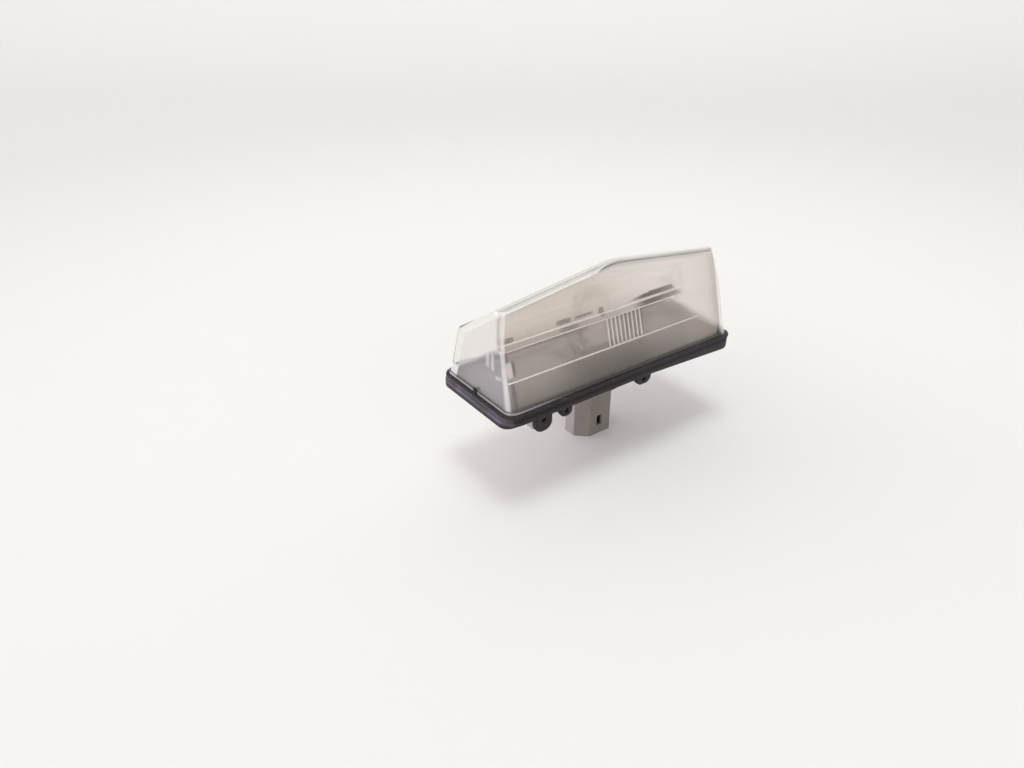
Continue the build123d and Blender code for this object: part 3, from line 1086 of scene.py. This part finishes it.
@dataclass
class Gasket:
    """Black rubber channel round the housing's flange, in millimetres."""

    length: float = 77.0
    depth: float = 28.0
    back_radius: float = 2.0
    least_radius: float = 0.5
    lip_corner: float = 2.0
    lower_corner: float = 3.0
    slot_corner: float = 2.5
    top: float = 25.5
    groove_top: float = 24.4
    groove_bottom: float = 24.0
    bottom: float = 22.75
    tapers: tuple[Point, ...] = ((8.0, 36.0, 1.35), (-36.8, -39.6, 0.95))
    flange_bottom: float = 23.1
    flange_top: float = 24.3
    upper_lip: Plan = (1.3, 1.2)
    groove: Plan = (1.15, 1.05)
    lower_lip: Plan = (1.5, 1.4)
    foot_gap: float = 0.35
    slot: Plan = (0.85, 0.75)
    reach: float = -1.6
    lip_round: float = 0.45
    lip_bevel: float = 0.1
    bottom_round: float = 0.25
    arc_steps: int = 12
    tab_face: float = -15.3
    tab_thickness: float = 1.3
    tab_rise: float = 0.4
    tab_land: float = 0.3
    tab_round: float = 0.22
    hole_radius: float = 0.6
    hole_level: float = 21.95
    nib: Point = (0.5, 1.2, 1.6)
    nib_place: Plan = (-39.1, 0.2)
    nib_sink: float = 0.2
    nib_tip: tuple[Plan, ...] = ((0.35, 0.95), (0.1, 0.8), (0.0, 0.5))
    nib_points: int = 24
    tabs: tuple[Tab, ...] = (Tab(-29.3, 5.4, 4.1), Tab(-22.1, 3.8, 2.4), Tab(4.5, 5.2, 2.2))

    def outline(self, rail: Rail) -> list[Point]:
        """Points round the lens's foot.

        Args:
            rail: the line to follow.

        Returns:
            As many points for any line, so that loops can be joined.
        """
        half_x, half_y = self.length / 2 + rail.end, self.depth / 2 + rail.side
        corners = (
            (1, -1, rail.corner, -90),
            (1, 1, self.back_radius, 0),
            (-1, 1, self.back_radius, 90),
            (-1, -1, rail.corner, 180),
        )
        plan: list[Plan] = []
        for sign_x, sign_y, radius, start in corners:
            grown = max(radius + rail.end, self.least_radius)
            centre_x, centre_y = sign_x * (half_x - grown), sign_y * (half_y - grown)
            turns = [math.radians(start + 90 * step / self.arc_steps) for step in range(self.arc_steps + 1)]
            arc = [(centre_x + grown * math.cos(turn), centre_y + grown * math.sin(turn)) for turn in turns]
            if plan:
                plan += self.run(plan[-1], arc[0])
            plan += arc
        plan += self.run(plan[-1], plan[0])
        return [(x, y, rail.z - rail.sag * self.deepening(x)) for x, y in plan]

    def deepening(self, x: float) -> float:
        """Depth that the lower lip gains towards the ends, at a place along X."""
        gains = [(drop, (x - begin) / (stop - begin)) for begin, stop, drop in self.tapers]
        return sum(drop * min(1.0, max(0.0, share)) for drop, share in gains)

    @staticmethod
    def run(start: Plan, stop: Plan, steps: int = 30) -> list[Plan]:
        """Points between two others, both left out."""
        return [tuple(a + (b - a) * step / steps for a, b in zip(start, stop)) for step in range(1, steps)]

    @staticmethod
    def rounding(lip: Rail, radius: float, start: float, stop: float, steps: int = 5) -> list[Rail]:
        """Rounded edge of a lip.

        Args:
            lip: the lip's face, at the level of the rounding's middle.
            radius: the rounding's radius.
            start: first direction, in degrees up from outwards.
            stop: last direction.
            steps: lines across the rounding, less one.

        Returns:
            The rounding's lines.
        """
        arc = []
        for step in range(steps + 1):
            turn = math.radians(start + (stop - start) * step / steps)
            inset = radius * (1 - math.cos(turn))
            level = lip.z + radius * math.sin(turn)
            arc.append(Rail(lip.end - inset, lip.side - inset, level, lip.corner, lip.sag))
        return arc

    def profile(self) -> list[Rail]:
        """Section of the channel.

        Returns:
            Its lines, from the top lip's inside outwards.
        """
        lip, gap, reach, bottom = self.lip_round, self.foot_gap, self.reach, self.bottom_round
        upper, lower = self.upper_lip, self.lower_lip
        rows = [Rail(gap, gap, self.flange_top), Rail(gap, gap, self.top - self.lip_bevel)]
        rows += [Rail(gap + self.lip_bevel, gap + self.lip_bevel, self.top)]
        rows += self.rounding(Rail(*upper, self.top - lip, self.lip_corner), lip, 90, 0)
        rows += self.rounding(Rail(*upper, self.groove_top + lip, self.lip_corner), lip, 0, -70)
        levels = (self.groove_top, self.groove_bottom)
        rows += [Rail(*self.groove, level, self.lip_corner) for level in levels]
        rows += self.rounding(Rail(*lower, self.groove_bottom - lip, self.lower_corner), lip, 70, 0)
        rows += self.rounding(Rail(*lower, self.bottom + bottom, self.lower_corner, 1.0), bottom, 0, -90, 3)
        rows += [Rail(reach, reach, self.bottom, sag=1.0), Rail(reach, reach, self.flange_bottom)]
        rows += [Rail(*self.slot, level, self.slot_corner) for level in (self.flange_bottom, self.flange_top)]
        return rows

    def ring(self, kit: MeshKit) -> None:
        """Sweeps the section round the lens's foot.

        Args:
            kit: the gasket's mesh.
        """
        loops = [kit.loop(self.outline(rail)) for rail in self.profile()]
        for index, loop in enumerate(loops):
            kit.skin(loop, loops[(index + 1) % len(loops)])

    def tab_edge(self, tab: Tab, turn: float, halvings: int = 40) -> Plan:
        """Point of a tab's edge seen from its hole, found by halving the stretch that it lies on.

        Args:
            tab: the tab.
            turn: direction from the hole's middle, in radians.
            halvings: how often the stretch is halved.

        Returns:
            X and Z of the edge in that direction.
        """
        top = self.bottom + self.tab_rise - self.hole_level
        low = self.bottom - tab.drop - self.hole_level
        half = tab.width / 2
        radius = min(tab.drop, half) - self.tab_land
        along, up = math.cos(turn), math.sin(turn)
        near, far = 0.0, 4 * tab.width
        for _ in range(halvings):
            middle = (near + far) / 2
            px, pz = abs(middle * along), middle * up
            inside = px <= half and low <= pz <= top
            corner_x, corner_z = half - radius, low + radius
            if inside and px > corner_x and pz < corner_z:
                inside = math.hypot(px - corner_x, pz - corner_z) <= radius
            near, far = (middle, far) if inside else (near, middle)
        return tab.x + near * along, self.hole_level + near * up

    def hang(self, kit: MeshKit, tab: Tab, steps: int = 72) -> None:
        """Adds a tab with its hole.

        Args:
            kit: the gasket's mesh.
            tab: the tab.
            steps: points round its edge.
        """
        soft, level = self.tab_round, self.hole_level
        turns = [2 * math.pi * step / steps for step in range(steps)]
        edge = [self.tab_edge(tab, turn) for turn in turns]
        hole = [(math.cos(turn), math.sin(turn)) for turn in turns]
        rows = [(0.0, soft), (soft * 0.3, soft * 0.3), (soft, 0.0)]
        rows += [(self.tab_thickness - depth, inset) for depth, inset in reversed(rows)]
        outer, inner = [], []
        for depth, inset in rows:
            y = self.tab_face + depth
            drawn = []
            for edge_x, edge_z in edge:
                across, up = edge_x - tab.x, edge_z - level
                share = self.shrink(across, up, inset)
                drawn.append((tab.x + across * share, y, level + up * share))
            outer.append(kit.loop(drawn))
            grown = self.hole_radius + inset * 0.6
            inner.append(kit.loop([(tab.x + grown * hx, y, level + grown * hz) for hx, hz in hole]))
        for first, second in zip(outer, outer[1:]):
            kit.skin(first, second)
        for first, second in zip(inner, inner[1:]):
            kit.skin(second, first)
        kit.skin(inner[0], outer[0])
        kit.skin(outer[-1], inner[-1])

    @staticmethod
    def shrink(across: float, up: float, inset: float) -> float:
        """Factor that moves an edge point in by an inset."""
        return 1 - inset / max(math.hypot(across, up), inset)

    def add_nib(self, kit: MeshKit) -> None:
        """Adds the small nib on the left end of the upper lip.

        Args:
            kit: the gasket's mesh.
        """
        (size_x, size_y, size_z), (x, y) = self.nib, self.nib_place
        rows = [(-self.nib_sink, 1.0)] + [(size_z - below, shrunk) for below, shrunk in self.nib_tip]
        turns = [2 * math.pi * step / self.nib_points for step in range(self.nib_points)]
        loops = []
        for level, shrunk in rows:
            half_x, half_y = size_x / 2 * shrunk, size_y / 2 * shrunk
            ring = []
            for turn in turns:
                parts = (math.cos(turn), math.sin(turn))
                across, along = (math.copysign(abs(part) ** 0.5, part) for part in parts)
                ring.append((x + half_x * across, y + half_y * along, self.top + level))
            loops.append(kit.loop(ring))
        for first, second in zip(loops, loops[1:]):
            kit.skin(first, second)
        kit.cap(loops[0])
        kit.cap(loops[-1])

    def build(self) -> None:
        """Builds the gasket in place of its CAD node."""
        kit = MeshKit()
        self.ring(kit)
        for tab in self.tabs:
            self.hang(kit, tab)
        self.add_nib(kit)
        settle(kit.piece("gasket_ring", GASKET_RUBBER.material()), Slot.GASKET, "gasket")


@dataclass
class Holder:
    """Twist-in bulb holder with its connector's shroud, seal ring and terminals."""

    body: str = "bulb_holder"
    ring: str = "holder_seal"
    strips: tuple[str, str] = ("terminal_left", "terminal_right")

    def build(self) -> None:
        """Dresses the CAD nodes of the holder."""
        dress(self.body, HOLDER_GREY.material())
        dress(self.ring, SEAL_RUBBER.material())
        brass = BRASS.material()
        for strip in self.strips:
            dress(strip, brass)


@dataclass
class Bulb:
    """Wedge-base bulb, in millimetres."""

    x: float = -0.7
    y: float = 1.604
    foot: float = 17.6
    length: float = 26.8
    radius: float = 4.9
    wall: float = 0.7
    base_half: float = 1.05
    base_height: float = 8.0
    dome: float = 4.4
    corner: float = 0.8
    columns: int = 64
    foot_rows: int = 5
    foot_step: float = 0.2
    rows: int = 34
    dome_rows: int = 12
    hollow_gap: float = 0.05
    leads: tuple[str, str] = ("bulb_lead_left", "bulb_lead_right")
    filament_level: float = 34.7
    filament_half: float = 2.2
    coil_radius: float = 0.165
    wire_radius: float = 0.035
    turns: int = 34
    turn_points: int = 10
    coil_taper: float = 8.0

    def half_depth(self, height: float, inset: float) -> float:
        """Half depth of the glass, which is pinched flat at its base.

        Args:
            height: level above the bulb's foot.
            inset: distance in from the outer surface.

        Returns:
            Half the depth at that level.
        """
        rise = height - self.base_height - inset
        span = self.radius + self.wall - self.base_half
        if rise <= 0:
            return self.base_half - inset
        if rise >= span:
            return self.radius - inset
        flare = self.base_half - inset + span * (1 - math.sqrt(max(0.0, 1 - (rise / span) ** 2)))
        return min(flare, self.radius - inset)

    def half_width(self, height: float, inset: float) -> float:
        """Radius of the glass, with its rounded foot and dome.

        Args:
            height: level above the bulb's foot.
            inset: distance in from the outer surface.

        Returns:
            The radius at that level.
        """
        full = self.radius - inset
        left = self.length - inset - height
        dome = self.dome - inset
        if left < dome:
            return full * math.sqrt(max(0.0, 1 - (1 - left / dome) ** 2))
        if height < self.corner:
            return full - self.corner * (1 - math.sqrt(max(0.0, 1 - (1 - height / self.corner) ** 2)))
        return full

    def section(self, height: float, inset: float) -> list[Point]:
        """Loop round the glass at a height above the foot.

        Args:
            height: level above the bulb's foot.
            inset: distance in from the outer surface.

        Returns:
            The loop's points.
        """
        wide, deep = self.half_width(height, inset), self.half_depth(height, inset)
        points = []
        for column in range(self.columns):
            turn = 2 * math.pi * column / self.columns
            across, along = wide * math.cos(turn), wide * math.sin(turn)
            points.append((self.x + across, self.y + max(-deep, min(deep, along)), self.foot + height))
        return points

    def heights(self, low: float, inset: float) -> list[float]:
        """Levels of the loops.

        Args:
            low: the lowest level.
            inset: distance in from the outer surface.

        Returns:
            Levels above the bulb's foot, closer together at the foot and the dome.
        """
        top, dome = self.length - inset, self.dome - inset
        levels = [low + step * self.foot_step for step in range(self.foot_rows)] if inset == 0 else [low]
        start, rise = levels[-1], top - dome - levels[-1]
        levels += [start + rise * step / self.rows for step in range(1, self.rows + 1)]
        turns = [math.radians(90 * step / self.dome_rows) for step in range(1, self.dome_rows)]
        return levels + [top - dome * (1 - math.sin(turn)) for turn in turns]

    def glass(self) -> None:
        """Builds the glass with its domed tip."""
        kit = MeshKit()
        for inset, low in ((0.0, 0.0), (self.wall, self.base_height + self.wall + self.hollow_gap)):
            loops = [kit.loop(self.section(height, inset)) for height in self.heights(low, inset)]
            for first, second in zip(loops, loops[1:]):
                kit.skin(first, second)
            kit.cap(loops[0])
            kit.cap(loops[-1])
        settle(kit.piece("bulb_glass", BULB_GLASS.material()), Slot.GLASS, "bulb_envelope")

    def coil(self) -> None:
        """Builds the filament as a wound coil between the leads."""
        data = bpy.data.curves.new("bulb_coil", "CURVE")
        data.dimensions = "3D"
        data.bevel_depth = self.wire_radius * MM
        data.bevel_resolution = 1
        data.use_fill_caps = True
        spline = data.splines.new("NURBS")
        count = self.turns * self.turn_points
        spline.points.add(count)
        for index, point in enumerate(spline.points):
            share = index / count
            turn = 2 * math.pi * self.turns * share
            radius = self.coil_radius * min(1.0, self.coil_taper * share, self.coil_taper * (1 - share))
            x = self.x + self.filament_half * (2 * share - 1)
            y = self.y + radius * math.cos(turn)
            z = self.filament_level + radius * math.sin(turn)
            point.co = (x * MM, y * MM, z * MM, 1.0)
        spline.order_u = 3
        spline.use_endpoint_u = True
        line = bpy.data.objects.new("bulb_coil_line", data)
        bpy.context.scene.collection.objects.link(line)
        bpy.context.view_layer.update()
        mesh = bpy.data.meshes.new_from_object(line.evaluated_get(bpy.context.evaluated_depsgraph_get()))
        bpy.data.objects.remove(line)
        mesh.name = "bulb_coil"
        mesh.materials.clear()
        mesh.materials.append(FILAMENT_WIRE.material())
        made = bpy.data.objects.new("bulb_coil", mesh)
        bpy.context.scene.collection.objects.link(made)
        settle(made, Slot.FILAMENT, "bulb_filament")

    def build(self) -> None:
        """Builds the glass and the coil, and dresses the leads."""
        self.glass()
        self.coil()
        wire = LEAD_WIRE.material()
        for lead in self.leads:
            dress(lead, wire)


@dataclass
class Studio:
    """Pale floor, soft light and camera, in metres."""

    floor_size: float = 3.0
    sweep_start: float = 0.55
    sweep_radius: float = 0.5
    sweep_steps: int = 16
    wall_height: float = 1.6
    eye: Point = (-0.125403, -0.134973, 0.121694)
    pitch: float = 59.7
    yaw: float = -35.86
    roll: float = -0.07
    focal: float = 26.367
    sensor: float = 36.0
    clip: Plan = (0.005, 20.0)
    world: Colour = (1.0, 0.952, 0.982)
    room_levels: Plan = (0.25, 0.85)
    room_low: float = 1.6
    room_high: float = 0.42
    room_left: float = 0.8
    room_back: float = 0.3
    seen_strength: float = 1.0
    key_size: float = 0.68
    key_place: Point = (0.04, 0.06, 1.5)
    key_power: float = 6.2
    key_colour: Colour = (0.89, 1.0, 0.92)

    def floor(self) -> None:
        """Builds the floor, swept up behind the lamp."""
        half = self.floor_size / 2
        side = [(-half, 0.0), (self.sweep_start, 0.0)]
        for step in range(1, self.sweep_steps + 1):
            turn = math.radians(90 * step / self.sweep_steps)
            along, z = self.sweep_radius * math.sin(turn), self.sweep_radius * (1 - math.cos(turn))
            side.append((self.sweep_start + along, z))
        side.append((self.sweep_start + self.sweep_radius, self.wall_height))
        heading = math.radians(self.yaw)
        kit = MeshKit()
        loops = []
        for along, z in side:
            row = []
            for across in (-half, half):
                x = across * math.cos(heading) - along * math.sin(heading)
                y = across * math.sin(heading) + along * math.cos(heading)
                row.append((x / MM, y / MM, z / MM))
            loops.append(kit.loop(row))
        for first, second in zip(loops, loops[1:]):
            kit.skin(first, second, closed=False)
        kit.piece("table", TABLE_PALE.material(), Shade.ROUND)

    def light(self) -> None:
        """Adds the overhead soft box, and the room's light, stronger low down, left and behind."""
        lamp = bpy.data.lights.new("overhead_soft_box", "AREA")
        lamp.shape = "DISK"
        lamp.size = self.key_size
        lamp.energy = self.key_power
        lamp.color = self.key_colour
        box = bpy.data.objects.new("overhead_soft_box", lamp)
        box.location = self.key_place
        bpy.context.scene.collection.objects.link(box)
        g = Graph(bpy.data.worlds.new("room"))
        bpy.context.scene.world = g.owner
        rays = g.add("LightPath").socket.node.outputs
        seen = Value(g, rays["Is Camera Ray"]) | Value(g, rays["Is Glossy Ray"])
        seen = seen | Value(g, rays["Is Transmission Ray"])
        x, y, z = g.axes(g.add("TexCoord", out="Generated"))
        room = self.room_low + (self.room_high - self.room_low) * g.ramp(z, *self.room_levels)
        room = room * (1 - self.room_left * x + self.room_back * y)
        strength = room + seen * (self.seen_strength - room)
        g.end(g.add("Background", sockets={"Color": (*self.world, 1.0), "Strength": strength}))

    def camera(self) -> None:
        """Places the camera where the photograph was taken from."""
        data = bpy.data.cameras.new("camera")
        data.lens = self.focal
        data.sensor_width = self.sensor
        data.clip_start, data.clip_end = self.clip
        view = bpy.data.objects.new("camera", data)
        turns = ((self.yaw, "Z"), (self.pitch, "X"), (self.roll, "Z"))
        yaw, pitch, roll = (Matrix.Rotation(math.radians(angle), 4, axis) for angle, axis in turns)
        view.matrix_world = Matrix.Translation(self.eye) @ yaw @ pitch @ roll
        bpy.context.scene.collection.objects.link(view)
        bpy.context.scene.camera = view

    def build(self) -> None:
        """Builds the studio."""
        self.floor()
        self.light()
        self.camera()
        bpy.context.scene.view_settings.view_transform = "Standard"
        log.info("studio: floor, soft box, room light and camera")


def main() -> None:
    """Builds every sub-assembly and the studio."""
    logging.basicConfig(level=logging.INFO, format="%(name)s: %(message)s")
    for part in (Lens(), Housing(), Gasket(), Holder(), Bulb(), Studio()):
        part.build()
    bpy.context.view_layer.update()


if __name__ == "__main__":
    main()
